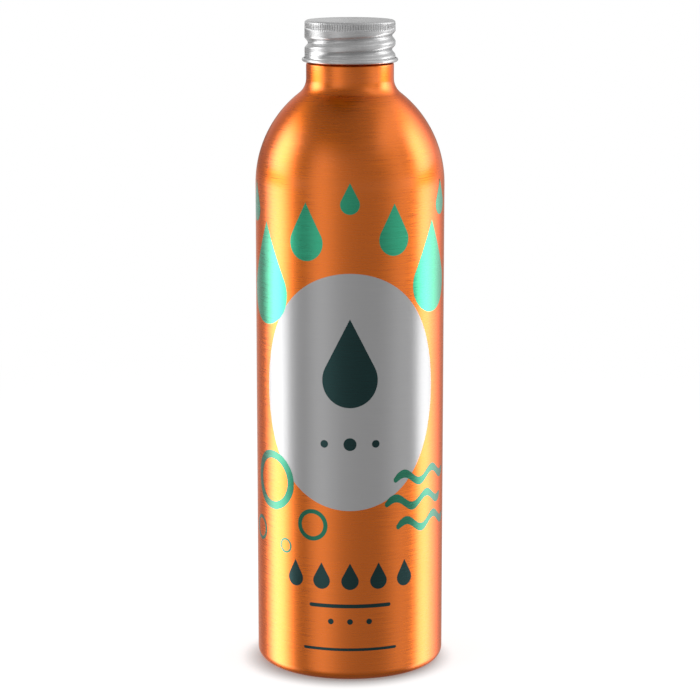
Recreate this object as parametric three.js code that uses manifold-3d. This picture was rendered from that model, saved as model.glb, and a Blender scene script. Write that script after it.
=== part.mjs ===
// Hand soap refill in an aluminium screw-top bottle: the one-piece bottle with its rolled thread and
// curled lip, the soap inside it, the foam liner, and the rolled and knurled screw cap.
// Millimetres, +Z up. The bottle stands on z = 0 with its axis on z, and its printed side faces -Y.
import * as THREE from "three";
import { mergeGeometries, mergeVertices } from "three/addons/utils/BufferGeometryUtils.js";
import Module from "manifold-3d";

const { clamp, degToRad, radToDeg, lerp, smoothstep } = THREE.MathUtils;

// Bottle
const BODY_RADIUS = 29.5; // outside of the straight wall
const SHOULDER_START = 153; // height at which the straight wall ends
const SHOULDER_RADIUS = 35.6; // section radius of the domed shoulder
const NECK_FILLET = 5.8; // hollow curve from the shoulder into the neck
const NECK_LENGTH = 4.9; // straight neck, up to the ledge under the cap
const HEEL_RADIUS = 3.5; // rounded lower edge
const STAND_WIDTH = 1.5; // flat ring that the bottle stands on
const PUNT_HEIGHT = 4.5; // how far the base is domed in
const PUNT_FILLET = 4; // curve from the stand ring into the dome
const WALL = 0.5; // sheet of the wall, shoulder and neck
const BASE_WALL = 1; // thicker sheet of the base

// Finish, the threaded top of the bottle
const FINISH_HEIGHT = 11.15; // from the ledge to the top of the lip
const FINISH_BEND = 0.7; // outer bends of the ledge and of the step under the lip
const LIP_RADIUS = 0.95; // section radius of the curled lip
const LIP_CURL = 280; // degrees of curl

// Cap
const CAP_RADIUS = 14.05; // outside of the skirt
const CAP_WALL = 0.35;
const CAP_EDGE = 0.9; // rounded top edge
const BEAD_RADIUS = 0.6; // section radius of the curled lower edge
const BEAD_CURL = 280; // degrees of curl
const KNURL_COUNT = 108;
const KNURL_DEPTH = 0.2;
const KNURL_LOW = 2.7; // lower end of the knurling, below the cap's top
const KNURL_HIGH = 0.4; // upper end of the knurling, below the cap's top

// Thread, right-hand: a groove rolled into the cap, and a ridge on the neck that it turns under
const THREAD_LEAD = 25.4 / 6; // six threads to the inch
const THREAD_DEPTH = 1.05;
const GROOVE_WIDTH = 3.4;
const THREAD_START = -160; // degrees round from +X at which the groove starts
const GROOVE_FOOT = 2.09; // start of the groove's centre line, above the ledge
const GROOVE_HEAD = 1.5; // its end, below the knurling
const RIDGE_FOOT = 2.2; // start of the ridge's centre line, above the ledge
const RIDGE_HEAD = 1.75; // its end, below the step under the lip
const RUN_OUT = 60; // degrees over which a thread fades at each end
const BEAD_FADE = 1; // plain height over the bead, where the groove fades

// Liner and soap
const LINER_THICKNESS = 1.2;
const SOAP_DROP = 1; // soap surface below the start of the shoulder

// Clearances
const THREAD_CLEARANCE = 0.25; // radial, thread crests and roots
const FLANK_CLEARANCE = 0.15; // axial, each side of the ridge
const NECK_CLEARANCE = 0.1; // radial, cap to plain neck
const SKIRT_CLEARANCE = 0.3; // ledge to the cap's lower edge
const CURL_CLEARANCE = 0.35; // curled lip to the step under it
const SEAT_CLEARANCE = 0.15; // lip to liner, and liner to cap
const LINER_CLEARANCE = 0.5; // radial, liner to cap
const SOAP_CLEARANCE = 0.3; // soap to bottle

// Facets
const SEGMENTS = 40; // round the axis
const THREAD_ROW = 0.7; // height of a row of facets in the threads

// Sizes that follow
const boreRadius = CAP_RADIUS - CAP_WALL;
const neckRadius = boreRadius - NECK_CLEARANCE;
const crestRadius = boreRadius - THREAD_CLEARANCE;
const rootRadius = crestRadius - THREAD_DEPTH;
const heelAxis = BODY_RADIUS - HEEL_RADIUS;
const shoulderAxis = BODY_RADIUS - SHOULDER_RADIUS;
const filletAxis = neckRadius + NECK_FILLET;
const filletHeight =
  SHOULDER_START + Math.sqrt((SHOULDER_RADIUS + NECK_FILLET) ** 2 - (filletAxis - shoulderAxis) ** 2);
const ledge = filletHeight + NECK_LENGTH;
const lip = ledge + FINISH_HEIGHT;
const lipStep = lip - 2 * LIP_RADIUS - CURL_CLEARANCE;
const linerBottom = lip + SEAT_CLEARANCE;
const linerTop = linerBottom + LINER_THICKNESS;
const capTop = linerTop + SEAT_CLEARANCE + CAP_WALL;
const capBottom = ledge + SKIRT_CLEARANCE;
const knurlBottom = capTop - KNURL_LOW;

// A section is a list of points [radius, height], with the sheet's thickness third where it differs.

// The points of an arc about (radius, height), with its angles in degrees.
function arc(radius, height, bend, from, to, steps) {
  return Array.from({ length: steps + 1 }, (_, i) => {
    const angle = degToRad(lerp(from, to, i / steps));
    return [radius + bend * Math.cos(angle), height + bend * Math.sin(angle)];
  });
}

// Points straight up a wall between two heights, without its ends, for a thread to shape.
function rows(radius, from, to) {
  const count = Math.round((to - from) / THREAD_ROW);
  return Array.from({ length: count - 1 }, (_, i) => [radius, lerp(from, to, (i + 1) / count)]);
}

// A step inwards at a height: a rounded corner, then a hollow curve up into the narrower wall.
function stepIn(outer, inner, height) {
  const hollow = outer - inner - FINISH_BEND;
  return [
    ...arc(outer - FINISH_BEND, height - FINISH_BEND, FINISH_BEND, 0, 90, 2),
    ...arc(inner + hollow, height + hollow, hollow, 270, 180, 2).slice(1),
  ];
}

// The section's other side, a sheet's thickness to the left of it, mitred at each point.
function parallel(section, wall, extra = 0) {
  return section.map(([radius, height, own = wall], i) => {
    const before = section[i - 1] ?? section[i];
    const after = section[i + 1] ?? section[i];
    const distance = own + extra;
    if (radius === 0) return [0, height + distance * Math.sign(after[0] - before[0])];
    const normals = [
      [before, section[i]],
      [section[i], after],
    ]
      .filter(([a, b]) => a !== b)
      .map(([a, b]) => new THREE.Vector2(a[1] - b[1], b[0] - a[0]).normalize());
    const [first, last] = [normals[0], normals.at(-1)];
    const mitre = first.clone().add(last).multiplyScalar(distance / (1 + first.dot(last)));
    return [radius + mitre.x, height + mitre.y];
  });
}

// A body of revolution. raise(angle, height) gives how far its wall stands out of the section there.
function revolve(section, raise = () => 0) {
  const geometry = new THREE.LatheGeometry(
    section.map(([radius, height]) => new THREE.Vector2(radius, height)),
    SEGMENTS,
  );
  const place = geometry.attributes.position;
  for (let i = 0; i < place.count; i++) {
    const [radius, height] = section[i % section.length];
    const angle = (360 * (Math.floor(i / section.length) % SEGMENTS)) / SEGMENTS - 90;
    const reach = radius + raise(angle, height);
    place.setXYZ(i, reach * Math.cos(degToRad(angle)), reach * Math.sin(degToRad(angle)), height);
  }
  return geometry;
}

// How much of its depth a helical roll has at a place: all on its flat crown, none past its flanks.
// It climbs from foot to head, and runs lift above the helix that starts at the groove's foot.
function rolled(angle, height, { lift, flat, foot, head }) {
  const turned = (level) => THREAD_START + (360 * (level - lift - ledge - GROOVE_FOOT)) / THREAD_LEAD;
  const [here, start, end] = [height, foot, head].map(turned);
  const along = angle + 360 * Math.round((here - angle) / 360);
  const flank = GROOVE_WIDTH / 2;
  const aside = clamp((Math.abs(here - along) * THREAD_LEAD) / 360 - flat / 2, 0, flank);
  const ends = smoothstep(along, start, start + RUN_OUT) * (1 - smoothstep(along, end - RUN_OUT, end));
  return (0.5 + 0.5 * Math.cos((Math.PI * aside) / flank)) * ends;
}

const wasm = await Module();
wasm.setup();

function solidOf(geometry) {
  const bare = geometry.clone();
  bare.deleteAttribute("normal");
  bare.deleteAttribute("uv");
  const merged = mergeVertices(bare);
  const mesh = { numProp: 3, vertProperties: merged.attributes.position.array };
  return new wasm.Manifold(new wasm.Mesh({ ...mesh, triVerts: new Uint32Array(merged.index.array) }));
}

// The geometry with the cutters taken out of it.
function cut(geometry, cutters) {
  const { vertProperties, triVerts } = solidOf(geometry).subtract(solidOf(cutters)).getMesh();
  const result = new THREE.BufferGeometry();
  result.setAttribute("position", new THREE.BufferAttribute(vertProperties, 3));
  result.setIndex(new THREE.BufferAttribute(triVerts, 1));
  result.computeVertexNormals();
  return result;
}

// Underside and heel: the domed-in punt, the flat stand ring and the rounded lower edge.
function baseSection() {
  const ring = heelAxis - STAND_WIDTH;
  const dome = (ring ** 2 + PUNT_HEIGHT ** 2 - 2 * PUNT_FILLET * PUNT_HEIGHT) / (2 * PUNT_HEIGHT);
  const tilt = radToDeg(Math.asin(ring / (dome + PUNT_FILLET)));
  const heelSteps = 4;
  return [
    [0, PUNT_HEIGHT, BASE_WALL],
    ...[
      ...arc(0, PUNT_HEIGHT - dome, dome, 90, 90 - tilt, 3).slice(1),
      ...arc(ring, PUNT_FILLET, PUNT_FILLET, 270 - tilt, 270, 2).slice(1),
    ].map((point) => [...point, BASE_WALL]),
    ...arc(heelAxis, HEEL_RADIUS, HEEL_RADIUS, 270, 360, heelSteps).map((point, i) => [
      ...point,
      lerp(BASE_WALL, WALL, i / heelSteps),
    ]),
  ];
}

// The dome of the shoulder, running without a corner into the hollow curve of the neck.
function shoulderSection() {
  const meet = radToDeg(Math.atan2(filletHeight - SHOULDER_START, filletAxis - shoulderAxis));
  return [
    ...arc(shoulderAxis, SHOULDER_START, SHOULDER_RADIUS, 0, meet, 5),
    ...arc(filletAxis, filletHeight, NECK_FILLET, 180 + meet, 180, 3).slice(1),
  ];
}

// The finish: ledge, wall for the thread, step in, and the lip curled outwards.
function finishSection() {
  const low = stepIn(neckRadius, rootRadius, ledge);
  const curl = LIP_RADIUS - WALL;
  const lipAxis = rootRadius - LIP_RADIUS;
  const high = stepIn(rootRadius, lipAxis - curl, lipStep);
  return [
    ...low,
    ...rows(rootRadius, low.at(-1)[1], high[0][1]),
    ...high,
    ...arc(lipAxis, lip - LIP_RADIUS, curl, 180, 180 - LIP_CURL, 7),
  ];
}

function bottle() {
  const outside = [...baseSection(), ...shoulderSection(), ...finishSection()];
  const thread = {
    lift: THREAD_LEAD / 2,
    flat: THREAD_LEAD - GROOVE_WIDTH - 2 * FLANK_CLEARANCE,
    foot: ledge + RIDGE_FOOT,
    head: lipStep - RIDGE_HEAD,
  };
  const ridge = (angle, height) => THREAD_DEPTH * rolled(angle, height, thread);
  return revolve([...outside, ...parallel(outside, WALL).reverse()], ridge);
}

function soap() {
  const level = SHOULDER_START - SOAP_DROP;
  const side = parallel([...baseSection(), [BODY_RADIUS, level]], WALL, SOAP_CLEARANCE);
  return revolve([...side, [0, level]]);
}

function liner() {
  const radius = boreRadius - LINER_CLEARANCE;
  return revolve([
    [0, linerBottom],
    [radius, linerBottom],
    [radius, linerTop],
    [0, linerTop],
  ]);
}

// The cap's sheet, from the end of its curled bead up the skirt and over the rounded edge.
function capShell() {
  const curl = BEAD_RADIUS - CAP_WALL;
  const beadTop = capBottom + 2 * BEAD_RADIUS;
  const thread = { lift: 0, flat: 0, foot: ledge + GROOVE_FOOT, head: knurlBottom - GROOVE_HEAD };
  const outside = [
    ...arc(CAP_RADIUS + curl, capBottom + BEAD_RADIUS, curl, BEAD_CURL - 180, -180, 6),
    [CAP_RADIUS, beadTop],
    ...rows(CAP_RADIUS, beadTop, knurlBottom),
    [CAP_RADIUS, knurlBottom],
    ...arc(CAP_RADIUS - CAP_EDGE, capTop - CAP_EDGE, CAP_EDGE, 0, 90, 3),
    [0, capTop],
  ];
  const groove = (angle, height) =>
    -THREAD_DEPTH *
    rolled(angle, height, thread) *
    smoothstep(height, beadTop, beadTop + BEAD_FADE);
  return revolve([...parallel(outside, CAP_WALL).reverse(), ...outside], groove);
}

// One upright prism for each groove of the knurling, with an edge pointing at the axis.
function knurlCutters() {
  const height = KNURL_LOW - KNURL_HIGH;
  const side = 2 * KNURL_DEPTH;
  const one = new THREE.CylinderGeometry(side, side, height, 4)
    .rotateX(Math.PI / 2)
    .translate(CAP_RADIUS + KNURL_DEPTH, 0, knurlBottom + height / 2);
  const turn = (2 * Math.PI) / KNURL_COUNT;
  return mergeGeometries(
    Array.from({ length: KNURL_COUNT }, (_, i) => one.clone().rotateZ((i + 0.25) * turn)),
  );
}

function cap() {
  return cut(capShell(), knurlCutters());
}

function piece(name, geometry, color, roughness, metalness) {
  const mesh = new THREE.Mesh(
    geometry,
    new THREE.MeshStandardMaterial({ color, roughness, metalness }),
  );
  mesh.name = name;
  return mesh;
}

const refill = new THREE.Group();
refill.add(
  piece("bottle", bottle(), 0xd9782a, 0.32, 1),
  piece("soap", soap(), 0xf2dca6, 0.1, 0),
  piece("liner", liner(), 0xf1f0ea, 0.9, 0),
  piece("cap", cap(), 0xc6c8ca, 0.28, 1),
);

export default refill;
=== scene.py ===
"""Looks of a hand soap refill in an aluminium screw-top bottle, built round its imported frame.

The bottle stands on z = 0 with its axis on Z, and its printed side faces -Y. The classes hold their
sizes in millimetres, and the meshes are made in metres.
"""

import logging
import math
from collections.abc import Callable, Iterator, Sequence
from contextlib import contextmanager
from dataclasses import dataclass
from enum import Enum
from typing import ClassVar

import bpy
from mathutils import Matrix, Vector


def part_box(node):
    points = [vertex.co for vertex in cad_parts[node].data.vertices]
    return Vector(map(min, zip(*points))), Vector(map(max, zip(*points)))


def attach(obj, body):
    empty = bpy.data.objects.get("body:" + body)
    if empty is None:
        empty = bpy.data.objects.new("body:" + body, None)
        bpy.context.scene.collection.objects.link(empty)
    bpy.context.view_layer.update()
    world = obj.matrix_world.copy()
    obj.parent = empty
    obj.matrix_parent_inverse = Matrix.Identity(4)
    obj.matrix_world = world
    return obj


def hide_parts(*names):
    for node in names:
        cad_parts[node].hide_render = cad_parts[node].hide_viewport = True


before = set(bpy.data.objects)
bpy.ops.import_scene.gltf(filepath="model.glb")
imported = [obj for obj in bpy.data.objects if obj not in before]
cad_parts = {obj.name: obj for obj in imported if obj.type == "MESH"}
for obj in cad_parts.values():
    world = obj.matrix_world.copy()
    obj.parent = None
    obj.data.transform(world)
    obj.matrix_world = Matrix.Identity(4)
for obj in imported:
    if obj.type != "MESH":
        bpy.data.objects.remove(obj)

MM = 0.001  # metres in a millimetre
MICRON = 1e-6  # metres in a micrometre
WELD = 0.002  # points closer than this, in millimetres, are one

Point = tuple[float, float]  # radius and height of a profile's point, in millimetres
Colour = tuple[float, float, float]  # linear red, green and blue
Triple = tuple[float, float, float]  # one number each for X, Y and Z
Piece = bpy.types.Object
Socket = bpy.types.NodeSocket
Inputs = dict[str | int, object]  # what a node's inputs get, by name or number

log = logging.getLogger("refill")


def srgb(red: int, green: int, blue: int) -> Colour:
    """Gives the linear colour of three screen values from 0 to 255."""
    shares = (value / 255 for value in (red, green, blue))
    return tuple(s / 12.92 if s <= 0.04045 else ((s + 0.055) / 1.055) ** 2.4 for s in shares)


def smoothstep(value: float, low: float, high: float) -> float:
    """Gives 0 below low, 1 above high, and a smooth rise between them."""
    share = min(max((value - low) / (high - low), 0), 1)
    return share * share * (3 - 2 * share)


def arc(centre: Point, radius: float, start: float, end: float, steps: int) -> list[Point]:
    """Gives the points of an arc.

    Args:
        centre: Radius and height of its centre.
        radius: Its radius.
        start: Its first angle in degrees, 0 pointing outwards and 90 upwards.
        end: Its last angle in degrees.
        steps: The number of chords.

    Returns:
        The points, both ends included.
    """
    angles = (math.radians(start + (end - start) * i / steps) for i in range(steps + 1))
    return [(centre[0] + radius * math.cos(a), centre[1] + radius * math.sin(a)) for a in angles]


def line(start: Point, end: Point, spacing: float) -> list[Point]:
    """Gives the points between two others, without them, about a spacing apart.

    Args:
        start: The first point.
        end: The second point.
        spacing: The distance, in millimetres.

    Returns:
        The points between them.
    """
    count = max(round(math.dist(start, end) / spacing), 1)
    return [
        (start[0] + (end[0] - start[0]) * i / count, start[1] + (end[1] - start[1]) * i / count)
        for i in range(1, count)
    ]


def pick(piece: Piece) -> None:
    """Selects one piece alone and makes it the active one.

    Args:
        piece: The piece.
    """
    bpy.ops.object.select_all(action="DESELECT")
    piece.select_set(True)
    bpy.context.view_layer.objects.active = piece


@contextmanager
def editing(piece: Piece) -> Iterator[None]:
    """Opens one piece in edit mode with all of it selected, and closes it again.

    Args:
        piece: The piece.

    Yields:
        Nothing, while the piece is open.
    """
    pick(piece)
    bpy.ops.object.mode_set(mode="EDIT")
    bpy.ops.mesh.select_all(action="SELECT")
    yield
    bpy.ops.object.mode_set(mode="OBJECT")


def select_vertices(piece: Piece, wanted: Callable[[Vector], bool]) -> None:
    """Selects in edit mode the vertices of a piece whose place passes a test.

    Args:
        piece: The piece, open in edit mode.
        wanted: The test, given a vertex's place in metres.
    """
    bpy.ops.mesh.select_all(action="DESELECT")
    bpy.ops.object.mode_set(mode="OBJECT")
    for vertex in piece.data.vertices:
        vertex.select = wanted(vertex.co)
    bpy.ops.object.mode_set(mode="EDIT")
    bpy.ops.mesh.select_mode(type="VERT")


def apply_modifier(piece: Piece, kind: str, **settings: object) -> None:
    """Adds a modifier to a piece and applies it.

    Args:
        piece: The piece.
        kind: The modifier's type.
        settings: Its properties.
    """
    pick(piece)
    modifier = piece.modifiers.new(kind.lower(), kind)
    for name, value in settings.items():
        setattr(modifier, name, value)
    bpy.ops.object.modifier_apply(modifier=modifier.name)


def begin(name: str, add: Callable[..., object], **settings: object) -> Piece:
    """Adds a primitive and moves its place into its mesh.

    Args:
        name: The name it gets.
        add: The operator that adds it.
        settings: The operator's settings.

    Returns:
        The new object, with its origin at the world's.
    """
    bpy.ops.object.select_all(action="DESELECT")
    add(**settings)
    piece = bpy.context.object
    piece.name = piece.data.name = name
    bpy.ops.object.transform_apply(location=True, rotation=True, scale=True)
    return piece


def faces_out(piece: Piece, profile: Sequence[Point]) -> bool:
    """Tells whether a turned piece faces the right side of its profile's first stretch.

    Args:
        piece: The piece.
        profile: Its profile, whose right side is its outside.

    Returns:
        Whether its faces point to the profile's right.
    """
    start, end = profile[:2]
    middle = ((start[0] + end[0]) / 2, (start[1] + end[1]) / 2)

    def away(face: bpy.types.MeshPolygon) -> float:
        """Gives a face's distance from the middle of the stretch."""
        return math.dist((face.center.xy.length / MM, face.center.z / MM), middle)

    face = min(piece.data.polygons, key=away)
    outwards = face.normal.xy.dot(face.center.xy.normalized())
    return outwards * (end[1] - start[1]) > face.normal.z * (end[0] - start[0])


def turn(name: str, profile: Sequence[Point], segments: int) -> Piece:
    """Turns a profile about Z, as on a lathe.

    A point is drawn out from place to place along the profile, and the line is spun a full turn.

    Args:
        name: The name of the new piece.
        profile: Its points, in millimetres, with the piece's outside on the right of the way along.
        segments: The number of steps in the turn.

    Returns:
        The piece, with its faces pointing outwards.
    """
    start, *_ = profile
    place = (start[0] * MM, 0, start[1] * MM)
    piece = begin(name, bpy.ops.mesh.primitive_plane_add, size=MM, location=place)
    with editing(piece):
        bpy.ops.mesh.merge(type="CENTER")
        for before, after in zip(profile, profile[1:]):
            step = ((after[0] - before[0]) * MM, 0, (after[1] - before[1]) * MM)
            bpy.ops.mesh.extrude_vertices_move(TRANSFORM_OT_translate={"value": step})
        bpy.ops.mesh.select_all(action="SELECT")
        bpy.ops.mesh.spin(steps=segments, angle=2 * math.pi, center=(0, 0, 0), axis=(0, 0, 1))
        bpy.ops.mesh.select_all(action="SELECT")
        bpy.ops.mesh.remove_doubles(threshold=WELD * MM)
        bpy.ops.mesh.normals_make_consistent(inside=False)
    if not faces_out(piece, profile):
        with editing(piece):
            bpy.ops.mesh.flip_normals()
    return piece


def weigh(piece: Piece, name: str, weight: Callable[[float, float], float]) -> None:
    """Gives a turned piece a vertex group.

    Args:
        piece: The piece.
        name: The name of the group.
        weight: Gives the weight from the angle about Z, in degrees, and the height in millimetres.
    """
    group = piece.vertex_groups.new(name=name)
    for vertex in piece.data.vertices:
        angle = math.degrees(math.atan2(vertex.co.y, vertex.co.x))
        share = weight(angle, vertex.co.z / MM)
        if share > 0:
            group.add([vertex.index], share, "REPLACE")


def roll(piece: Piece, group: str, depth: float) -> None:
    """Moves a piece's sheet outwards where a vertex group says.

    Args:
        piece: The piece.
        group: The name of the group.
        depth: How far a full weight moves it, in millimetres.
    """
    apply_modifier(
        piece,
        "DISPLACE",
        vertex_group=group,
        direction="NORMAL",
        mid_level=0,
        strength=depth * MM,
    )


def finish_piece(piece: Piece, material: bpy.types.Material, angle: float = 30) -> Piece:
    """Gives a piece its material and smooth shading.

    Args:
        piece: The piece.
        material: Its material.
        angle: The largest angle between faces that still looks smooth, in degrees.

    Returns:
        The same piece.
    """
    piece.data.materials.clear()
    piece.data.materials.append(material)
    pick(piece)
    bpy.ops.object.shade_smooth_by_angle(angle=math.radians(angle))
    return piece


def mount(piece: Piece, body: str, slot: str, *nodes: str) -> None:
    """Puts a finished piece on its body and reports it.

    Args:
        piece: The piece.
        body: The body it moves with.
        slot: The name of its material slot, which is not used.
        nodes: The nodes it stands for, if any.
    """
    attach(piece, body)
    if nodes:
        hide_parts(*nodes)
    mesh = piece.data
    mesh.calc_loop_triangles()
    log.info("%s: %d triangles, rides on %s", piece.name, len(mesh.loop_triangles), body)


class Nodes:
    """The node tree of a material or a world, with short ways to add and link its nodes."""

    def __init__(self, owner: bpy.types.Material | bpy.types.World) -> None:
        """Empties the tree of a new material or world.

        Args:
            owner: The material or world.
        """
        owner.use_nodes = True
        self.owner = owner
        self.tree = owner.node_tree
        self.tree.nodes.clear()

    def add(self, kind: str, inputs: Inputs | None = None, **settings: object) -> bpy.types.Node:
        """Adds a node.

        Args:
            kind: Its type, without ShaderNode before it.
            inputs: What its inputs get.
            settings: Its properties.

        Returns:
            The node.
        """
        node = self.tree.nodes.new(f"ShaderNode{kind}")
        for name, value in settings.items():
            setattr(node, name, value)
        for key, value in (inputs or {}).items():
            self.feed(node.inputs[key], value)
        return node

    def feed(self, socket: Socket, value: object) -> None:
        """Links a socket to another, or sets its value.

        Args:
            socket: The input.
            value: An output, a number, or three numbers for a colour or a vector.
        """
        if isinstance(value, bpy.types.NodeSocket):
            self.tree.links.new(value, socket)
        else:
            socket.default_value = (*value, 1) if socket.type == "RGBA" else value

    def math(self, operation: str, *values: object) -> Socket:
        """Gives the result of a Math node on sockets or numbers."""
        return self.add("Math", dict(enumerate(values)), operation=operation).outputs[0]

    def vector(self, operation: str, inputs: Inputs) -> Socket:
        """Gives the result of a Vector Math node, which is a number for LENGTH."""
        node = self.add("VectorMath", inputs, operation=operation)
        return node.outputs["Value" if operation == "LENGTH" else "Vector"]

    def remap(self, value: Socket, source: Point, target: Point, smooth: bool = False) -> Socket:
        """Maps a value from one range to another and holds it there.

        Args:
            value: The socket to map.
            source: The range it comes from.
            target: The range it goes to.
            smooth: Whether the change eases in and out.

        Returns:
            The mapped value.
        """
        names = ("From Min", "From Max", "To Min", "To Max")
        inputs = {"Value": value, **dict(zip(names, (*source, *target)))}
        kind = "SMOOTHSTEP" if smooth else "LINEAR"
        return self.add("MapRange", inputs, interpolation_type=kind).outputs["Result"]

    def place(self) -> Socket:
        """Gives the place on the object, in metres."""
        return self.add("TexCoord").outputs["Object"]

    def noise(self, scale: Triple, detail: float, roughness: float = 0.5) -> Socket:
        """Gives noise on Object coordinates.

        Args:
            scale: Waves in a metre along X, Y and Z.
            detail: Number of finer layers.
            roughness: How strong each finer layer is.

        Returns:
            The noise, from 0 to 1.
        """
        place = self.add("Mapping", {"Vector": self.place(), "Scale": scale}).outputs[0]
        inputs = {"Vector": place, "Scale": 1, "Detail": detail, "Roughness": roughness}
        return self.add("TexNoise", inputs).outputs[0]

    def mix(self, share: object, first: object, second: object) -> Socket:
        """Mixes two colours by the second one's share."""
        return self.add("Mix", {0: share, 6: first, 7: second}, data_type="RGBA").outputs[2]

    def around(self) -> Socket:
        """Gives the unit direction round the Z axis, for brushing that runs round a turned piece.

        Returns:
            The direction, in the world's axes.
        """
        x, y, _ = self.add("SeparateXYZ", {0: self.place()}).outputs
        spun = self.add("CombineXYZ", {0: self.math("MULTIPLY", y, -1), 1: x}).outputs[0]
        world = self.add("VectorTransform", {0: spun}, vector_type="VECTOR")
        world.convert_from = "OBJECT"
        world.convert_to = "WORLD"
        return self.vector("NORMALIZE", {0: world.outputs[0]})

    def seen(self) -> Socket:
        """Tells rays that show a thing from rays that only carry its light.

        Returns:
            1 for a ray from the camera, a gloss or a clear body, and 0 for another.
        """
        path = self.add("LightPath").outputs
        seen = self.math("MAXIMUM", path["Is Camera Ray"], path["Is Glossy Ray"])
        return self.math("MAXIMUM", seen, path["Is Transmission Ray"])

    def surface(self, kind: str, inputs: Inputs) -> bpy.types.Material:
        """Ends a material's tree with a shader and gives the material."""
        self.add("OutputMaterial", {"Surface": self.add(kind, inputs).outputs[0]})
        return self.owner


@dataclass(frozen=True)
class BrushedMetal:
    """Aluminium brushed round the axis, bare, lacquered or printed with a clear ink.

    Attributes:
        name: Name of the material.
        colour: Colour of the metal through its lacquer.
        deep: Colour in the brushing's deeper patches.
        roughness: Mean roughness.
        spread: How far the brushing changes the roughness.
        grain: Depth of the brush marks, in micrometres.
        sway: How far the marks turn the surface round the axis, in radians a full mark.
        lacquer: Weight of the clear coat.
        lacquer_roughness: Roughness of the clear coat.
        anisotropy: How far the brushing draws out a highlight.
        rim: Tint of the metal seen at a flat angle.
        metal: How metallic it is under its lacquer or ink.
        lacquer_index: Index of refraction of the clear coat.
    """

    name: str
    colour: Colour
    deep: Colour
    roughness: float = 0.3
    spread: float = 0.08
    grain: float = 1.5
    sway: float = 0.16
    lacquer: float = 0.5
    lacquer_roughness: float = 0.22
    anisotropy: float = 0.75
    rim: Colour = (1, 1, 1)
    metal: float = 0.92
    lacquer_index: float = 1.5

    fine_marks: ClassVar[Triple] = (190, 190, 6500)  # waves in a metre
    coarse_marks: ClassVar[Triple] = (90, 90, 2600)
    patches: ClassVar[Triple] = (50, 50, 60)
    fine_share: ClassVar[float] = 0.6
    patch_range: ClassVar[Point] = (0.35, 0.65)  # the noise between weak and strong patches
    patch_strength: ClassVar[Point] = (0.7, 1.2)
    full_mark: ClassVar[float] = 0.2  # how far a full mark lies from the mean
    brush_turn: ClassVar[float] = 0.25  # of a turn, so highlights are drawn out across the marks

    def build(self) -> bpy.types.Material:
        """Makes the material.

        Returns:
            The material.
        """
        nodes = Nodes(bpy.data.materials.new(self.name))
        fine = nodes.noise(self.fine_marks, detail=3, roughness=0.6)
        coarse = nodes.noise(self.coarse_marks, detail=2)
        patches = nodes.noise(self.patches, detail=2)
        rest = nodes.math("MULTIPLY", coarse, 1 - self.fine_share)
        marks = nodes.math("MULTIPLY_ADD", fine, self.fine_share, rest)
        strength = nodes.remap(patches, self.patch_range, self.patch_strength, smooth=True)
        streak = nodes.math("MULTIPLY", nodes.math("SUBTRACT", marks, 0.5), strength)
        shade = nodes.remap(streak, (-self.full_mark, self.full_mark), (1, 0))
        spread = self.spread / self.full_mark
        grain = self.grain * MICRON
        bump = nodes.add("Bump", {"Strength": 1, "Distance": grain, "Height": marks})
        around = nodes.around()
        sway = nodes.math("MULTIPLY", streak, self.sway)
        lean = nodes.vector("SCALE", {0: around, "Scale": sway})
        normal = nodes.vector("ADD", {0: bump.outputs[0], 1: lean})
        inputs = {
            "Base Color": nodes.mix(shade, self.colour, self.deep),
            "Metallic": self.metal,
            "Roughness": nodes.math("MULTIPLY_ADD", streak, spread, self.roughness),
            "Normal": nodes.vector("NORMALIZE", {0: normal}),
            "Specular Tint": self.rim,
            "Anisotropic": self.anisotropy,
            "Anisotropic Rotation": self.brush_turn,
            "Tangent": around,
            "Coat Weight": self.lacquer,
            "Coat Roughness": self.lacquer_roughness,
            "Coat IOR": self.lacquer_index,
        }
        return nodes.surface("BsdfPrincipled", inputs)


@dataclass(frozen=True)
class Foam:
    """Closed-cell foam of the sealing disc.

    Attributes:
        name: Name of the material.
        colour: Colour of the skin.
        hollow: Darker colour down in the cells, painted shade in the pits that the bump sinks.
        cell: Cells in a metre.
        depth: Depth of the cells, in millimetres.
        edge: Places in a cell at which its hollow ends and its skin is whole.
        roughness: Roughness in the hollow and on the skin.
    """

    name: str = "liner_foam"
    colour: Colour = srgb(240, 239, 233)
    hollow: Colour = srgb(214, 213, 206)
    cell: float = 4200
    depth: float = 0.05
    edge: Point = (0.2, 0.8)
    roughness: Point = (0.95, 0.7)

    def build(self) -> bpy.types.Material:
        """Makes the material.

        Returns:
            The material.
        """
        nodes = Nodes(bpy.data.materials.new(self.name))
        cells = nodes.add("TexVoronoi", {"Vector": nodes.place(), "Scale": self.cell})
        distance = cells.outputs["Distance"]
        share = nodes.remap(distance, self.edge, (0, 1))
        bump = nodes.add("Bump", {"Distance": self.depth * MM, "Height": distance})
        inputs = {
            # Painted shade: the pits of the cells, where the bump is lowest, take the darker hollow
            # colour
            "Base Color": nodes.mix(share, self.hollow, self.colour),
            "Roughness": nodes.remap(distance, (0, 1), self.roughness),
            "Normal": bump.outputs[0],
        }
        return nodes.surface("BsdfPrincipled", inputs)


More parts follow.
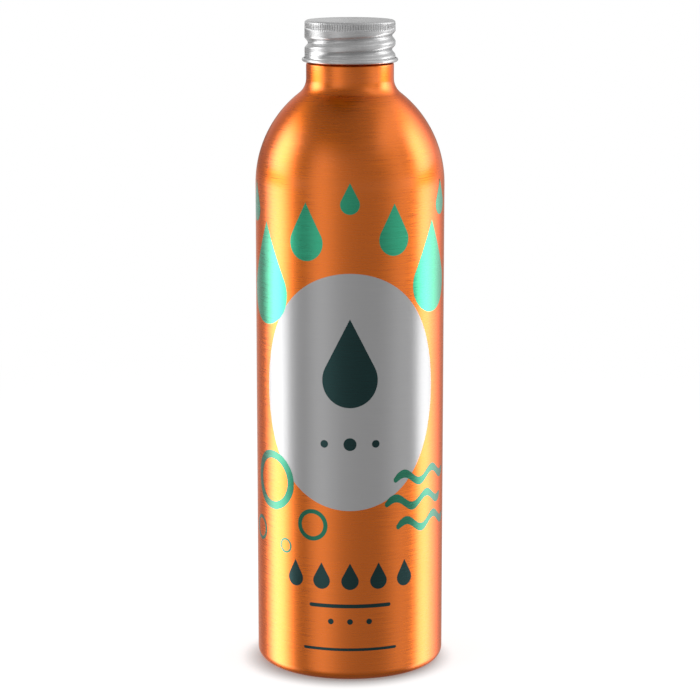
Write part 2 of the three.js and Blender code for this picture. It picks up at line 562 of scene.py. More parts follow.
@dataclass(frozen=True)
class Liquid:
    """Clear liquid soap, faintly clouded.

    Attributes:
        name: Name of the material.
        colour: Its colour in depth.
        cloud: Its colour where it is cloudy.
        index: Its index of refraction.
        clear: How much of the light goes through.
        swirl: Waves in a metre of its clouds.
        edge: The noise between clear and cloudy.
        roughness: Roughness where it is clear and where it is cloudy.
    """

    name: str = "liquid_soap"
    colour: Colour = srgb(246, 226, 178)
    cloud: Colour = srgb(255, 241, 208)
    index: float = 1.39
    clear: float = 0.6
    swirl: Triple = (60, 60, 90)
    edge: Point = (0.4, 0.6)
    roughness: Point = (0.04, 0.07)

    def build(self) -> bpy.types.Material:
        """Makes the material.

        Returns:
            The material.
        """
        nodes = Nodes(bpy.data.materials.new(self.name))
        swirl = nodes.remap(nodes.noise(self.swirl, detail=3), self.edge, (0, 1), smooth=True)
        inputs = {
            "Base Color": nodes.mix(swirl, self.colour, self.cloud),
            "Roughness": nodes.remap(swirl, (0, 1), self.roughness),
            "IOR": self.index,
            "Transmission Weight": self.clear,
        }
        return nodes.surface("BsdfPrincipled", inputs)


ORANGE = BrushedMetal(
    "orange_aluminium",
    (0.96, 0.202, 0.002),
    (0.87, 0.17, 0.001),
    lacquer=0.48,
    lacquer_roughness=0.2,
    rim=(1, 0.45, 0.15),
    lacquer_index=1.8,
)
BARE_CAP = BrushedMetal(
    "bare_aluminium",
    (0.6, 0.6, 0.6),
    (0.57, 0.57, 0.575),
    roughness=0.27,
    spread=0.04,
    grain=0.4,
    sway=0.05,
    lacquer=0.15,
    anisotropy=0.4,
    metal=0.5,
)


@dataclass(frozen=True)
class Thread:
    """A helical roll in a sheet wall, right-hand.

    Attributes:
        ledge: Height of the ledge under the cap.
        foot: Height at which the roll's own centre line starts.
        head: Height at which it ends.
        lift: How far it runs above the helix of the cap's groove.
        flat: Width of its flat crown.
        lead: Rise in a full turn.
        width: Width of both flanks.
        groove_foot: How far over the ledge the groove of the cap starts.
        start: Degrees round from +X at which the groove of the cap starts.
        run_out: Degrees over which the roll fades at each end.
    """

    ledge: float
    foot: float
    head: float
    lift: float = 0
    flat: float = 0
    lead: float = 25.4 / 6
    width: float = 3.4
    groove_foot: float = 2.09
    start: float = -160
    run_out: float = 60

    def turned(self, height: float) -> float:
        """Gives the angle along the helix at which its centre line passes a height."""
        rise = height - self.lift - self.ledge - self.groove_foot
        return self.start + 360 * rise / self.lead

    def share(self, angle: float, height: float) -> float:
        """Gives how much of its depth the roll has at a place.

        Args:
            angle: The angle about Z, in degrees.
            height: The height.

        Returns:
            The share, from 0 to 1.
        """
        here = self.turned(height)
        along = angle + 360 * round((here - angle) / 360)
        flank = self.width / 2
        aside = abs(here - along) * self.lead / 360 - self.flat / 2
        aside = min(max(aside, 0), flank)
        start, end = self.turned(self.foot), self.turned(self.head)
        ends = smoothstep(along, start, start + self.run_out)
        ends *= 1 - smoothstep(along, end - self.run_out, end)
        return (0.5 + 0.5 * math.cos(math.pi * aside / flank)) * ends


@dataclass
class Bottle:
    """The one-piece bottle: base, wall, shoulder, neck, rolled thread and curled lip."""

    radius: float
    shoulder_start: float = 153
    shoulder_radius: float = 35.6
    neck_radius: float = 13.6
    neck_fillet: float = 5.8
    neck_length: float = 4.9
    heel: float = 3.5
    stand: float = 1.5
    punt: float = 4.5
    punt_fillet: float = 4
    wall: float = 0.5
    base_wall: float = 1
    finish_height: float = 11.15
    bend: float = 0.7
    lip_radius: float = 0.95
    lip_curl: float = 280
    curl_gap: float = 0.35
    thread_depth: float = 1.05
    root_radius: float = 12.4
    ridge_foot: float = 2.2
    ridge_head: float = 1.75
    flank_gap: float = 0.15
    base_fade: float = 9
    row: float = 0.24
    plain_row: float = 5
    segments: int = 192

    def __post_init__(self) -> None:
        """Works out the heights that follow from the sizes."""
        self.shoulder_axis = self.radius - self.shoulder_radius
        self.fillet_axis = self.neck_radius + self.neck_fillet
        reach = self.shoulder_radius + self.neck_fillet
        rise = math.sqrt(reach**2 - (self.fillet_axis - self.shoulder_axis) ** 2)
        self.fillet_height = self.shoulder_start + rise
        self.ledge = self.fillet_height + self.neck_length
        self.lip = self.ledge + self.finish_height
        self.lip_step = self.lip - 2 * self.lip_radius - self.curl_gap

    def base_profile(self) -> list[Point]:
        """Gives the domed base, the ring it stands on and the heel.

        Returns:
            The points, from the middle outwards and up.
        """
        ring = self.radius - self.heel - self.stand
        dome = (ring**2 + self.punt**2 - 2 * self.punt_fillet * self.punt) / (2 * self.punt)
        tilt = math.degrees(math.asin(ring / (dome + self.punt_fillet)))
        return [
            *arc((0, self.punt - dome), dome, 90, 90 - tilt, steps=16),
            *arc((ring, self.punt_fillet), self.punt_fillet, 270 - tilt, 270, steps=6)[1:],
            *arc((self.radius - self.heel, self.heel), self.heel, 270, 360, steps=12),
        ]

    def shoulder_profile(self) -> list[Point]:
        """Gives the domed shoulder and the hollow curve into the neck.

        Returns:
            The points, upwards.
        """
        rise = self.fillet_height - self.shoulder_start
        meet = math.degrees(math.atan2(rise, self.fillet_axis - self.shoulder_axis))
        dome = (self.shoulder_axis, self.shoulder_start)
        hollow = (self.fillet_axis, self.fillet_height)
        return [
            *arc(dome, self.shoulder_radius, 0, meet, steps=34),
            *arc(hollow, self.neck_fillet, 180 + meet, 180, steps=12)[1:],
        ]

    def step_in(self, outer: float, inner: float, height: float) -> list[Point]:
        """Gives a step inwards: a rounded corner and a hollow curve.

        Args:
            outer: The radius below the step.
            inner: The radius above it.
            height: Its height.

        Returns:
            The points, upwards.
        """
        hollow = outer - inner - self.bend
        return [
            *arc((outer - self.bend, height - self.bend), self.bend, 0, 90, steps=5),
            *arc((inner + hollow, height + hollow), hollow, 270, 180, steps=4)[1:],
        ]

    def finish_profile(self) -> list[Point]:
        """Gives the ledge, the wall of the thread, the step and the curled lip.

        Returns:
            The points, upwards and round the curl.
        """
        low = self.step_in(self.neck_radius, self.root_radius, self.ledge)
        curl = self.lip_radius - self.wall
        axis = self.root_radius - self.lip_radius
        high = self.step_in(self.root_radius, axis - curl, self.lip_step)
        centre = (axis, self.lip - self.lip_radius)
        return [
            *low,
            *line(low[-1], high[0], self.row),
            *high,
            *arc(centre, curl, 180, 180 - self.lip_curl, steps=18),
        ]

    def build(self) -> Piece:
        """Makes the bottle's sheet, rolls its thread and gives it its thickness.

        Returns:
            The bottle.
        """
        profile = self.base_profile()
        for part in (self.shoulder_profile(), self.finish_profile()):
            profile += [*line(profile[-1], part[0], self.plain_row), *part]
        piece = turn("bottle_shell", profile, self.segments)
        thread = Thread(
            ledge=self.ledge,
            foot=self.ledge + self.ridge_foot,
            head=self.lip_step - self.ridge_head,
            lift=Thread.lead / 2,
            flat=Thread.lead - Thread.width - 2 * self.flank_gap,
        )

        def ridge(angle: float, height: float) -> float:
            """Gives the ridge's share between the ledge and the step under the lip."""
            return thread.share(angle, height) if self.ledge < height < self.lip_step else 0

        def sheet(_: float, height: float) -> float:
            """Gives the sheet's thickness as a share of the base's."""
            thin = self.wall / self.base_wall
            return thin + (1 - thin) * (1 - smoothstep(height, 0, self.base_fade))

        weigh(piece, "thread", ridge)
        roll(piece, "thread", self.thread_depth)
        weigh(piece, "sheet", sheet)
        apply_modifier(
            piece,
            "SOLIDIFY",
            vertex_group="sheet",
            thickness=self.base_wall * MM,
            offset=-1,
            use_even_offset=True,
        )
        return finish_piece(piece, ORANGE.build())


@dataclass
class Cap:
    """The rolled aluminium screw cap: top, knurling, thread groove and curled lower edge."""

    top: float
    ledge: float
    radius: float = 14.05
    wall: float = 0.35
    edge: float = 0.9
    bead: float = 0.6
    bead_curl: float = 280
    bead_fade: float = 1
    skirt_gap: float = 0.3
    knurls: int = 108
    knurl_depth: float = 0.2
    knurl_low: float = 2.7
    knurl_high: float = 0.4
    knurl_fade: float = 0.3
    knurl_phase: float = 0.25
    groove_head: float = 1.5
    thread_depth: float = 1.05
    row: float = 0.26
    top_row: float = 2.2
    steps_per_knurl: int = 4

    def __post_init__(self) -> None:
        """Works out the heights that follow from the sizes."""
        self.bottom = self.ledge + self.skirt_gap
        self.bead_top = self.bottom + 2 * self.bead
        self.knurl_bottom = self.top - self.knurl_low

    def profile(self) -> list[Point]:
        """Gives the cap's outside, from the end of the bead's curl to the middle of the top.

        Returns:
            The points.
        """
        curl = self.bead - self.wall
        centre = (self.radius + curl, self.bottom + self.bead)
        bead = arc(centre, curl, self.bead_curl - 180, -180, steps=14)
        edge = arc((self.radius - self.edge, self.top - self.edge), self.edge, 0, 90, steps=8)
        return [
            *bead,
            *line(bead[-1], edge[0], self.row),
            *edge,
            *line(edge[-1], (0, self.top), self.top_row),
            (0, self.top),
        ]

    def knurl_share(self, angle: float, height: float) -> float:
        """Gives how deep the knurling is at a place.

        Args:
            angle: The angle about Z, in degrees.
            height: The height.

        Returns:
            The share of its full depth, from 0 to 1.
        """
        phase = (angle * self.knurls / 360 - self.knurl_phase) % 1
        aside = min(phase, 1 - phase)
        low, high = self.knurl_bottom, self.top - self.knurl_high
        ends = smoothstep(height, low, low + self.knurl_fade)
        ends *= 1 - smoothstep(height, high - self.knurl_fade, high)
        return max(1 - aside * self.steps_per_knurl, 0) * ends

    def build(self) -> Piece:
        """Makes the cap's sheet, rolls its groove and knurling and gives it its thickness.

        Returns:
            The cap.
        """
        piece = turn("cap_shell", self.profile(), self.knurls * self.steps_per_knurl)
        foot = self.ledge + Thread.groove_foot
        thread = Thread(ledge=self.ledge, foot=foot, head=self.knurl_bottom - self.groove_head)

        def groove(angle: float, height: float) -> float:
            """Gives the groove's share, which fades over the bead."""
            fade = smoothstep(height, self.bead_top, self.bead_top + self.bead_fade)
            return thread.share(angle, height) * fade

        weigh(piece, "thread", groove)
        weigh(piece, "knurl", self.knurl_share)
        roll(piece, "thread", -self.thread_depth)
        roll(piece, "knurl", -self.knurl_depth)
        wall = self.wall * MM
        apply_modifier(piece, "SOLIDIFY", thickness=wall, offset=-1, use_even_offset=True)
        return finish_piece(piece, BARE_CAP.build())


@dataclass
class Liner:
    """The foam disc inside the cap, with the ring that the lip presses into it."""

    bottom: float
    top: float
    radius: float
    lip_radius: float
    edge: float = 0.18
    ring_width: float = 0.7
    ring_depth: float = 0.12
    ring_steps: int = 5
    segments: int = 128

    def build(self) -> Piece:
        """Makes the disc.

        Returns:
            The disc.
        """
        inner = self.radius - self.edge
        ring = [
            (
                self.lip_radius + self.ring_width * share,
                self.bottom + self.ring_depth * (0.5 + 0.5 * math.cos(math.pi * share)),
            )
            for share in (i / self.ring_steps for i in range(-self.ring_steps, self.ring_steps + 1))
        ]
        profile = [
            (0, self.bottom),
            *line((0, self.bottom), ring[0], spacing=2),
            *ring,
            *line(ring[-1], (inner, self.bottom), spacing=0.5),
            *arc((inner, self.bottom + self.edge), self.edge, 270, 360, steps=5),
            *arc((inner, self.top - self.edge), self.edge, 0, 90, steps=5),
            *line((inner, self.top), (0, self.top), spacing=2.5),
            (0, self.top),
        ]
        piece = turn("liner_disc", profile, self.segments)
        return finish_piece(piece, Foam().build(), angle=50)


@dataclass
class Soap:
    """The liquid in the bottle, with the curved edge of its surface."""

    bottle: Bottle
    level: float
    gap: float = 0.3
    creep: float = 2.2
    rise: float = 0.9
    edge_steps: int = 8
    segments: int = 128

    def build(self) -> Piece:
        """Makes the liquid inside the bottle's wall.

        Returns:
            The liquid.
        """
        bottle = self.bottle
        side = bottle.radius - bottle.wall - self.gap
        foot = bottle.base_wall + self.gap
        ring = bottle.radius - bottle.heel - bottle.stand
        punt = bottle.punt + foot
        heel = bottle.heel - bottle.wall - self.gap
        meniscus = [
            (side - self.creep * share, self.level - self.rise * (1 - (1 - share) ** 2))
            for share in (i / self.edge_steps for i in range(self.edge_steps + 1))
        ]
        dome = (ring**2 + bottle.punt**2) / (2 * bottle.punt)
        tilt = math.degrees(math.asin(ring / dome))
        profile = [
            *arc((0, punt - dome), dome, 90, 90 - tilt, steps=14),
            *arc((side - heel, foot + heel), heel, 270, 360, steps=8),
            *line((side, foot + heel), meniscus[0], spacing=6),
            *meniscus,
            *line(meniscus[-1], (0, meniscus[-1][1]), spacing=5),
            (0, meniscus[-1][1]),
        ]
        piece = turn("soap_fill", profile, self.segments)
        return finish_piece(piece, Liquid().build(), angle=50)


class Ink(Enum):
    """The printed fields, each with its finish and how far it stands off the wall in micrometres."""

    PANEL = (
        BrushedMetal(
            "bare_panel",
            (0.51, 0.51, 0.515),
            (0.49, 0.49, 0.495),
            spread=0.02,
            grain=0.3,
            sway=0.05,
            lacquer=0.15,
            metal=0.37,
        ),
        15,
    )
    GREEN = (BrushedMetal("green_ink", (0.04, 0.48, 0.27), (0.025, 0.38, 0.2)), 30)
    DEEP = (BrushedMetal("deep_green_ink", (0.012, 0.2, 0.115), (0.008, 0.15, 0.08)), 30)
    TEAL = (BrushedMetal("dark_teal_ink", (0.006, 0.05, 0.05), (0.004, 0.035, 0.035)), 30)

    @property
    def finish(self) -> BrushedMetal:
        """The ink's finish."""
        return self.value[0]

    @property
    def stand_off(self) -> float:
        """How far the ink stands off the wall, in millimetres."""
        return self.value[1] * MM


@dataclass(frozen=True)
class Motif:
    """A flat field of ink, drawn in the plane y = 0 before it is wrapped round the wall.

    Attributes:
        ink: Its ink.
        across: Place of its middle along the wall, to the right of the front, in millimetres.
        height: Height of its middle.
    """

    ink: Ink
    across: float
    height: float

    def start(self, add: Callable[..., object], **sizes: object) -> Piece:
        """Adds a flat primitive at the motif's place, facing forwards."""
        upright = (math.pi / 2, 0, 0)
        return begin("motif", add, location=self.centre(), rotation=upright, **sizes)

    def centre(self) -> tuple[float, float, float]:
        """Gives the motif's middle, in metres."""
        return (self.across * MM, 0, self.height * MM)

    def disc(self, radius: float, vertices: int, fill: str = "NGON") -> Piece:
        """Adds a disc, or with the fill NOTHING a circle, at the motif's place."""
        add = bpy.ops.mesh.primitive_circle_add
        return self.start(add, vertices=vertices, radius=radius * MM, fill_type=fill)

    def draw(self) -> Piece:
        """Draws the motif."""
        raise NotImplementedError


@dataclass(frozen=True)
class Oval(Motif):
    """A filled oval, by its full width and height."""

    wide: float
    tall: float

    def draw(self) -> Piece:
        """Draws the motif.

        Returns:
            The flat field.
        """
        piece = self.disc(self.wide / 2, vertices=144)
        with editing(piece):
            scale = (1, 1, self.tall / self.wide)
            bpy.ops.transform.resize(value=scale, center_override=self.centre())
        return piece


@dataclass(frozen=True)
class Drop(Motif):
    """A drop, by the radius of its round end and the height of its tip over that end's middle."""

    radius: float
    tip: float
    top: ClassVar[float] = 0.01  # radians from straight up, within which there is one vertex only

    def draw(self) -> Piece:
        """Draws the motif.

        Returns:
            The flat field.
        """
        piece = self.disc(self.radius, vertices=72)
        centre = Vector(self.centre())
        tangent = math.acos(self.radius / self.tip)

        def above(place: Vector) -> float:
            """Gives a vertex's angle from straight up."""
            return (place - centre).angle(Vector((0, 0, 1)))

        with editing(piece):
            select_vertices(piece, lambda place: self.top < above(place) < tangent)
            bpy.ops.mesh.dissolve_verts()
            select_vertices(piece, lambda place: above(place) <= self.top)
            rise = (self.tip - self.radius) * MM
            bpy.ops.transform.translate(value=(0, 0, rise))
        return piece


@dataclass(frozen=True)
class Ring(Motif):
    """A ring, by its outer radius and its width."""

    radius: float
    width: float

    def draw(self) -> Piece:
        """Draws the motif.

        Returns:
            The flat field.
        """
        piece = self.disc(self.radius, vertices=72, fill="NOTHING")
        with editing(piece):
            bpy.ops.mesh.extrude_edges_move()
            inner = (self.radius - self.width) / self.radius
            bpy.ops.transform.resize(value=(inner,) * 3, center_override=self.centre())
        return piece


@dataclass(frozen=True)
class Bar(Motif):
    """A bar with round ends, by its length and height."""

    long: float
    tall: float
    rounding: ClassVar[float] = 0.999  # of half the height, so that no edge shrinks to nothing

    def draw(self) -> Piece:
        """Draws the motif.

        Returns:
            The flat field.
        """
        piece = self.start(bpy.ops.mesh.primitive_plane_add, size=MM)
        with editing(piece):
            scale = (self.long, 1, self.tall)
            bpy.ops.transform.resize(value=scale, center_override=self.centre())
            offset = self.tall / 2 * MM * self.rounding
            bpy.ops.mesh.bevel(affect="VERTICES", offset=offset, segments=8, clamp_overlap=False)
        return piece


@dataclass(frozen=True)
class Wave(Motif):
    """A wavy ribbon, by its length, width, wavelength and swing."""

    long: float
    width: float
    period: float
    swing: float
    step: float = 0.5
    ends: tuple[float, ...] = (0.3, 0.72, 0.93)

    def draw(self) -> Piece:
        """Draws the motif.

        Returns:
            The flat field.
        """
        piece = self.start(bpy.ops.mesh.primitive_plane_add, size=MM)
        count = round(self.long / self.step)
        left = self.across - self.long / 2

        def lift(along: float) -> float:
            """Gives the ribbon's rise at a place along it, in millimetres."""
            return self.swing * math.sin(2 * math.pi * along / self.period)

        with editing(piece):
            scale = (self.step, 1, self.width)
            bpy.ops.transform.resize(value=scale, center_override=self.centre())
            shift = left + self.step / 2 - self.across
            bpy.ops.transform.translate(value=(shift * MM, 0, 0))
            edge = (left + self.step / 2) * MM
            select_vertices(piece, lambda place: place.x > edge)
            for i in range(1, count):
                rise = lift(i * self.step) - lift((i - 1) * self.step)
                step = (self.step * MM, 0, rise * MM)
                bpy.ops.mesh.extrude_region_move(TRANSFORM_OT_translate={"value": step})
            for i, share in enumerate(self.ends):
                for j in (i, count - i):
                    along = (left + j * self.step) * MM
                    near = self.step * MM / 2
                    select_vertices(piece, lambda place: abs(place.x - along) < near)
                    middle = (along, 0, (self.height + lift(max(j - 1, 0) * self.step)) * MM)
                    bpy.ops.transform.resize(value=(1, 1, share), center_override=middle)
        return piece


@dataclass
class Print:
    """The printed front: plain fields, drops and bubbles, wrapped round the wall."""

    radius: float
    depth: float = 0.08
    strip: float = 0.75
    drop_tip: float = 2.2
    ring_share: float = 0.27
    proud: ClassVar[float] = 0.03  # how far the wall keeps inside its box, for the ink

    def motifs(self) -> list[Motif]:
        """Gives the fields of the design.

        Returns:
            The fields, panel first.
        """
        green, deep, teal = Ink.GREEN, Ink.DEEP, Ink.TEAL
        drops = [(30, 124, 9), (-31, 121, 10), (-14, 138, 5.6), (14, 139, 5), (0, 150, 3)]
        drops += [(-40, 146, 4), (36, 148, 3.4)]
        bubbles = [(-28, 62, 9.4), (-12, 50, 5), (-36, 45, 4), (-22, 42, 2.4)]
        waves = [(27, 64), (24, 56.5), (28, 49)]
        return [
            Oval(Ink.PANEL, 0, 92, wide=60, tall=74),
            *(Drop(green, x, z, size, size * self.drop_tip) for x, z, size in drops),
            *(Ring(deep, x, z, size, size * self.ring_share) for x, z, size in bubbles),
            *(Wave(deep, x, z, long=26, width=2.6, period=13, swing=1.6) for x, z in waves),
            Drop(teal, 0, 96, radius=8.6, tip=19),
            *(Oval(teal, x, 76, size, size) for x, size in ((-8, 2.4), (0, 4), (8, 2.4))),
            *(Drop(teal, x, 32.5, radius=2.7, tip=5.8) for x in (-18, -9, 0, 9, 18)),
            Bar(teal, 0, 24.5, long=26, tall=1.2),
            *(Oval(teal, x, 19.5, wide=1.8, tall=1.8) for x in (-6, 0, 6)),
            Bar(teal, 0, 10.5, long=30, tall=0.9),
        ]

    def wrap(self, piece: Piece, ink: Ink) -> None:
        """Cuts a flat field into strips, thickens it and bends it round the wall.

        Args:
            piece: The flat field.
            ink: Its ink.
        """
        reach = max(abs(vertex.co.x) for vertex in piece.data.vertices) / MM
        count = math.ceil(reach / self.strip)
        with editing(piece):
            for i in range(-count, count + 1):
                bpy.ops.mesh.select_all(action="SELECT")
                place = (i * self.strip * MM, 0, 0)
                bpy.ops.mesh.bisect(plane_co=place, plane_no=(1, 0, 0))
            bpy.ops.mesh.select_all(action="SELECT")
            bpy.ops.mesh.remove_doubles(threshold=WELD * MM)
            bpy.ops.transform.translate(value=(0, -ink.stand_off * MM, 0))
        apply_modifier(piece, "SOLIDIFY", thickness=self.depth * MM, offset=-1)
        xs = [vertex.co.x for vertex in piece.data.vertices]
        apply_modifier(
            piece,
            "SIMPLE_DEFORM",
            deform_method="BEND",
            deform_axis="Z",
            angle=(max(xs) - min(xs)) / (self.radius * MM),
        )
        with editing(piece):
            bpy.ops.transform.translate(value=(0, -self.radius * MM, 0))

    def build(self) -> list[Piece]:
        """Makes one piece of each ink's fields.

        Returns:
            The pieces, one for each ink.
        """
        pieces = []
        for ink in Ink:
            fields = [motif.draw() for motif in self.motifs() if motif.ink is ink]
            for field in fields:
                if field.data.polygons[0].normal.y > 0:
                    field.data.flip_normals()
            bpy.ops.object.select_all(action="DESELECT")
            for field in fields:
                field.select_set(True)
            piece = fields[0]
            bpy.context.view_layer.objects.active = piece
            if len(fields) > 1:
                bpy.ops.object.join()
            piece.name = piece.data.name = f"print_{ink.name.lower()}"
            self.wrap(piece, ink)
            finish_piece(piece, ink.finish.build())
            pieces.append(piece)
        return pieces


@dataclass(frozen=True)
class Band:
    """Levels of light round a belt of the tent, or across its top.

    Attributes:
        stops: Places and the level at each, where 1 is white. It changes evenly between them.
        reach: The places at 0 and at 1 of the way round or across.
    """

    stops: tuple[Point, ...]
    reach: Point = (-180, 180)

    def share(self, place: float) -> float:
        """Gives how far round or across a place is, from 0 to 1."""
        return (place - self.reach[0]) / (self.reach[1] - self.reach[0])


# The tent's sides and the belt of it that the cap shows, by degrees to the right of the camera's
# side, and its top, from left to right
SIDES = Band((
    (-155, 0.6), (-136, 0.36), (-125, 0.48), (-115, 2.5), (-106, 4.8), (-98, 5.2), (-90, 4.5),
    (-82, 2.75), (-73, 0.76), (-64, 0.33), (-55, 0.34), (-47, 0.7), (-39, 0.92), (-32, 0.93),
    (-10, 0.48), (4, 0.38), (15, 0.345), (33, 0.345), (42, 0.42), (50, 0.56), (58, 0.71),
    (66, 0.78), (75, 0.6), (84, 0.86), (95, 3.9), (106, 4.2), (119, 2.5), (136, 1.0), (150, 0.45),
))
COLLAR = Band((
    (-172, 0.22), (-149, 0.28), (-125, 0.28), (-114, 0.36), (-104, 0.8), (-90, 1.4), (-76, 1.5),
    (-64, 0.85), (-52, 0.62), (-40, 0.85), (-30, 0.88), (-10, 0.6), (10, 0.48), (30, 0.48),
    (45, 0.62), (60, 0.95), (74, 1.4), (84, 1.2), (95, 0.7), (106, 0.35), (118, 0.4), (132, 0.7),
    (149, 0.8), (170, 0.18),
))
CEILING = Band(
    (
        (-0.8, 0.9), (-0.66, 0.4), (-0.5, 0.22), (-0.33, 0.2), (0, 0.22), (0.2, 0.28),
        (0.34, 0.35), (0.42, 0.5), (0.54, 1.0), (0.8, 1.1),
    ),
    reach=(-1, 1),
)
BRIGHTEST = max(level for _, level in SIDES.stops)


@dataclass(frozen=True)
class Lamp:
    """A soft lamp that faces the bottle.

    Attributes:
        place: Where it hangs, in metres.
        size: Its width and height, in metres.
        power: Its power in watts.
    """

    place: Triple
    size: Point
    power: float
    target: ClassVar[Triple] = (0, 0, 0.08)

    def hang(self) -> None:
        """Adds the lamp to the scene."""
        data = bpy.data.lights.new("soft_lamp", "AREA")
        data.shape = "RECTANGLE"
        data.size, data.size_y = self.size
        data.energy = self.power
        lamp = bpy.data.objects.new("soft_lamp", data)
        bpy.context.scene.collection.objects.link(lamp)
        lamp.location = self.place
        aim = Vector(self.target) - Vector(self.place)
        lamp.rotation_mode = "QUATERNION"
        lamp.rotation_quaternion = aim.to_track_quat("-Z", "Y")
        lamp.visible_glossy = False


LAMPS = (
    Lamp((-0.9, -0.5, 1.0), (0.6, 1.2), 5),
    Lamp((0.9, -0.4, 1.0), (0.6, 1.2), 4),
    Lamp((0, 0.3, 1.4), (1.4, 1.0), 5),
)


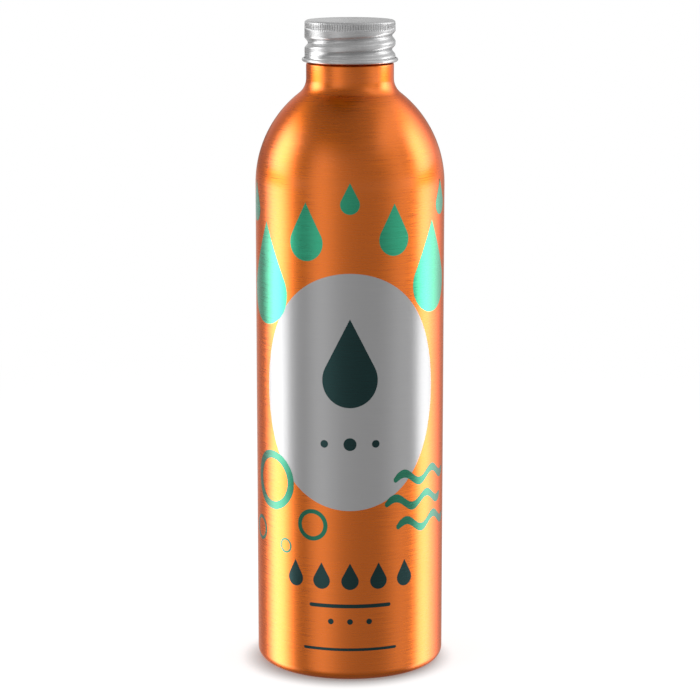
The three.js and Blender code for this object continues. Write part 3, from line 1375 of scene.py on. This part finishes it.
@dataclass
class Studio:
    """Floor, light tent, lamps, world and camera. Lengths are in metres."""

    tent_radius: float = 0.5
    tent_height: float = 0.1
    ceiling_rise: Point = (0.5, 0.75)  # of the tent's radius, where the top takes over
    nadir_rise: Point = (-0.86, -0.56)  # where the bottom's own level ends
    nadir_level: float = 0.2
    collar_low: Point = (0.095, 0.14)
    collar_high: Point = (0.18, 0.21)
    card_place: Triple = (-0.045, 0.13, 0.6)
    card_reach: Triple = (0.14, 0.23, 0.42)
    card_edge: Point = (0.6, 1.25)  # of the card's reach, where its shade fades
    card_level: float = 0.02
    floor_size: float = 12
    floor_grey: Colour = (0.3, 0.3, 0.3)
    floor_reach: Point = (0.1, 0.5)
    # Painted shadow round the bottle's foot: within this reach of this centre the floor's glow falls
    # to the lower level
    painted_shadow_centre: Triple = (0.0011, 0.0017, 0)
    painted_shadow_reach: Point = (0.026, 0.0355)
    painted_shadow_glow: Point = (0.25, 0.78)
    world_level: float = 0.55
    focal_length: float = 134.64
    sensor: float = 36
    camera_place: Triple = (0, -0.8116, 0.2570)
    camera_tilt: float = 79.04

    def floor(self) -> None:
        """Makes the pale floor, which keeps the object's shadow, with painted shadow round the
        bottle's foot where its glow is lowered.
        """
        floor = begin("floor", bpy.ops.mesh.primitive_plane_add, size=self.floor_size)
        nodes = Nodes(bpy.data.materials.new("floor_white"))
        seen = nodes.seen()
        # Painted shadow: the glow is lowered near a point just off the bottle's axis, darkening the
        # floor round the foot over its real shadow
        near = nodes.add("Mapping", {"Vector": nodes.place(), "Location": self.painted_shadow_centre})
        away = nodes.vector("LENGTH", {0: near.outputs[0]})
        lift = nodes.remap(away, self.painted_shadow_reach, self.painted_shadow_glow, smooth=True)
        glow = nodes.add("Emission", {"Strength": nodes.math("MULTIPLY", seen, lift)})
        matt = nodes.add("BsdfDiffuse", {"Color": self.floor_grey})
        both = nodes.add("AddShader", {0: matt.outputs[0], 1: glow.outputs[0]})
        white = nodes.add("Emission", {"Strength": seen})
        share = nodes.remap(away, self.floor_reach, (0, 1), smooth=True)
        far = {0: share, 1: both.outputs[0], 2: white.outputs[0]}
        floor.data.materials.append(nodes.surface("MixShader", far))
        floor.visible_glossy = False

    def tent(self) -> None:
        """Makes the light tent with its soft boxes and dark stretches, which only metal shows."""
        tent = begin(
            "light_tent",
            bpy.ops.mesh.primitive_uv_sphere_add,
            segments=96,
            ring_count=48,
            radius=self.tent_radius,
            location=(0, 0, self.tent_height),
        )
        nodes = Nodes(bpy.data.materials.new("tent_cloth"))
        glow = {
            "Color": self.cloth(nodes),
            "Strength": nodes.math("MULTIPLY", self.card(nodes), BRIGHTEST),
        }
        tent.data.materials.append(nodes.surface("Emission", glow))
        tent.visible_camera = False
        tent.visible_diffuse = False
        tent.visible_transmission = False
        tent.visible_shadow = False

    def cloth(self, nodes: Nodes) -> Socket:
        """Gives the levels of the tent's cloth, as shares of the brightest.

        Args:
            nodes: The tent's nodes.

        Returns:
            The level as a colour.
        """
        x, y, z = nodes.add("SeparateXYZ", {0: nodes.place()}).outputs
        turned = nodes.math("ARCTAN2", x, nodes.math("MULTIPLY", y, -1))
        share = nodes.remap(turned, (-math.pi, math.pi), (0, 1))
        across = nodes.math("MULTIPLY_ADD", x, 0.5 / self.tent_radius, 0.5)
        rise = nodes.math("DIVIDE", nodes.math("SUBTRACT", z, self.tent_height), self.tent_radius)
        above = nodes.remap(z, self.collar_low, (0, 1), smooth=True)
        below = nodes.remap(z, self.collar_high, (1, 0), smooth=True)
        belt = nodes.math("MULTIPLY", above, below)
        sides = nodes.mix(belt, self.ramp(nodes, share, SIDES), self.ramp(nodes, share, COLLAR))
        high = nodes.remap(rise, self.ceiling_rise, (0, 1), smooth=True)
        upper = nodes.mix(high, sides, self.ramp(nodes, across, CEILING))
        low = nodes.remap(rise, self.nadir_rise, (0, 1), smooth=True)
        return nodes.mix(low, (self.nadir_level / BRIGHTEST,) * 3, upper)

    def card(self, nodes: Nodes) -> Socket:
        """Gives the shade of a dark card that hangs over the bottle.

        Args:
            nodes: The tent's nodes.

        Returns:
            The share of the light that is left, from the card's level to 1.
        """
        spans = zip(self.card_place, self.card_reach)
        place = {
            "Vector": nodes.place(),
            "Location": tuple(-middle / reach for middle, reach in spans),
            "Scale": tuple(1 / reach for reach in self.card_reach),
        }
        beside = nodes.vector("LENGTH", {0: nodes.add("Mapping", place).outputs[0]})
        return nodes.remap(beside, self.card_edge, (self.card_level, 1), smooth=True)

    def ramp(self, nodes: Nodes, share: Socket, band: Band) -> Socket:
        """Gives a band's levels, as shares of the brightest.

        Args:
            nodes: The tent's nodes.
            share: How far round or across, from 0 to 1.
            band: The band.

        Returns:
            The level as a colour.
        """
        node = nodes.add("ValToRGB", {0: share})
        elements = node.color_ramp.elements
        elements.remove(elements[-1])
        for i, (place, level) in enumerate(band.stops):
            element = elements.new(band.share(place)) if i else elements[0]
            element.position = band.share(place)
            element.color = (*(level / BRIGHTEST,) * 3, 1)
        return node.outputs[0]

    def world(self) -> None:
        """Sets a white background and soft light from all round."""
        world = bpy.data.worlds.new("studio")
        bpy.context.scene.world = world
        nodes = Nodes(world)
        strength = nodes.remap(nodes.seen(), (0, 1), (self.world_level, 1))
        background = nodes.add("Background", {"Color": (1, 1, 1), "Strength": strength})
        nodes.add("OutputWorld", {"Surface": background.outputs[0]})

    def camera(self) -> None:
        """Sets up the camera at the photograph's angle."""
        data = bpy.data.cameras.new("camera")
        data.lens = self.focal_length
        data.sensor_width = self.sensor
        data.clip_start = 0.01
        camera = bpy.data.objects.new("camera", data)
        bpy.context.scene.collection.objects.link(camera)
        camera.location = self.camera_place
        camera.rotation_euler = (math.radians(self.camera_tilt), 0, 0)
        bpy.context.scene.camera = camera

    def build(self) -> None:
        """Sets up the studio."""
        bpy.context.scene.view_settings.view_transform = "Standard"
        self.camera()
        self.floor()
        self.tent()
        for lamp in LAMPS:
            lamp.hang()
        self.world()


def main() -> None:
    """Builds the studio and the refill."""
    logging.basicConfig(level=logging.INFO, format="%(message)s")
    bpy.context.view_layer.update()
    Studio().build()

    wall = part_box("bottle")[1].x / MM - Print.proud
    bottle = Bottle(radius=wall)
    mount(bottle.build(), "bottle", "orange_aluminium", "bottle")

    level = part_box("soap")[1].z / MM
    mount(Soap(bottle, level).build(), "bottle", "liquid_soap", "soap")

    low, high = (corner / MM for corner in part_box("liner"))
    liner = Liner(low.z, high.z, high.x, bottle.root_radius - bottle.lip_radius)
    mount(liner.build(), "liner", "liner_foam", "liner")

    cap = Cap(top=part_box("cap")[1].z / MM, ledge=bottle.ledge)
    mount(cap.build(), "cap", "bare_aluminium", "cap")

    for piece in Print(wall).build():
        mount(piece, "bottle", "orange_aluminium")


if __name__ == "__main__":
    main()
